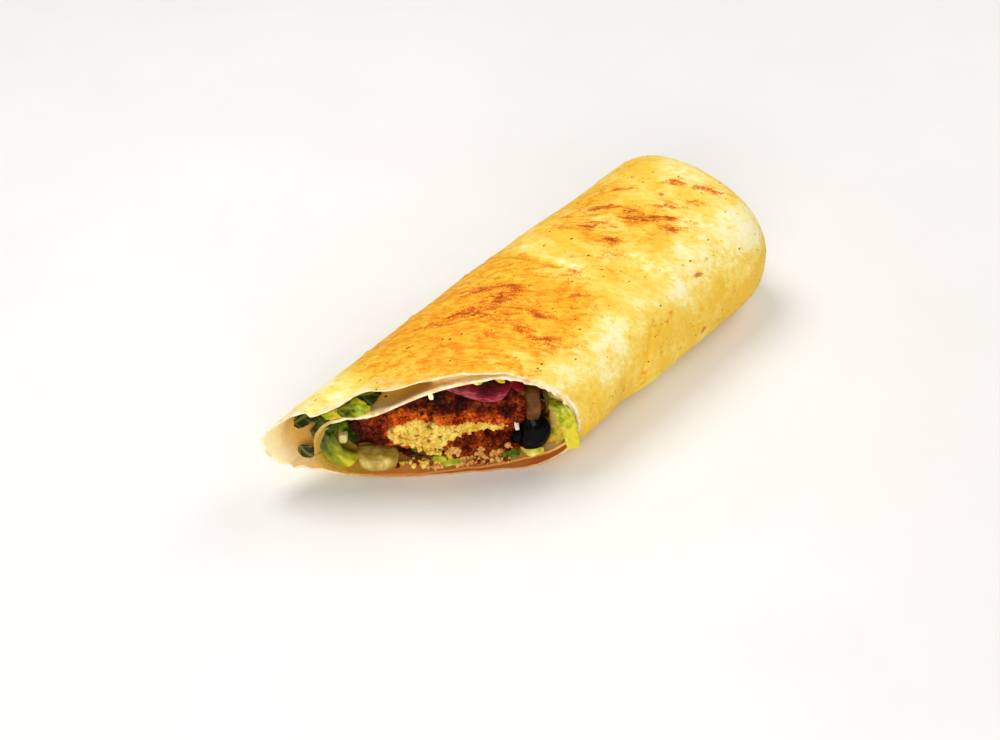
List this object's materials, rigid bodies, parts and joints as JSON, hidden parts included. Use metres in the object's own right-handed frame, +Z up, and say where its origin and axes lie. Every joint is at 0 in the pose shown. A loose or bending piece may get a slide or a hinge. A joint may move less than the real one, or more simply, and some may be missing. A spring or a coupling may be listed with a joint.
{
  "type": "falafel wrap half",
  "caption": "Toasted flour tortilla rolled round falafel and salad, one half cut on the slant with its other end folded shut.",
  "frame": {"origin": "under the middle of the whole, on the surface it rests on", "axes": "+Y along the roll from the slanted cut to the folded end, +Z up, +X to the right seen from the cut"},
  "size_m": [0.0652, 0.1787, 0.044],
  "materials": {
    "tortilla": "soft flour tortilla, cream with toasted patches",
    "falafel": "fried brown crust, pale broken crumb",
    "salad": "moist shredded salad",
    "red_onion": "moist purple onion",
    "black_olive": "shiny black olive",
    "pickle": "translucent grey green pickle",
    "cabbage": "pale yellow green leaf",
    "pepper": "shiny green pepper",
    "cucumber": "wet pale green cucumber",
    "white_onion": "chopped white onion",
    "lettuce": "crisp green lettuce"
  },
  "bodies": {
    "root": {"tortilla": "tortilla", "falafel_upper": "falafel", "falafel_lower": "falafel", "salad": "salad", "red_onion_slice": "red_onion", "red_onion_bit": "red_onion", "black_olive": "black_olive", "pickle_slice": "pickle", "pickle_peel": "pickle", "cabbage_leaf": "cabbage", "pepper_strip": "pepper", "cucumber_slice": "cucumber", "onion_bit_left": "white_onion", "onion_bit_right": "white_onion", "lettuce_over_rim": "lettuce", "leaf_at_tip": "lettuce", "leaf_low": "lettuce", "leaf_between_turns": "lettuce", "leaf_wedge": "lettuce"}
  },
  "joints": []
}
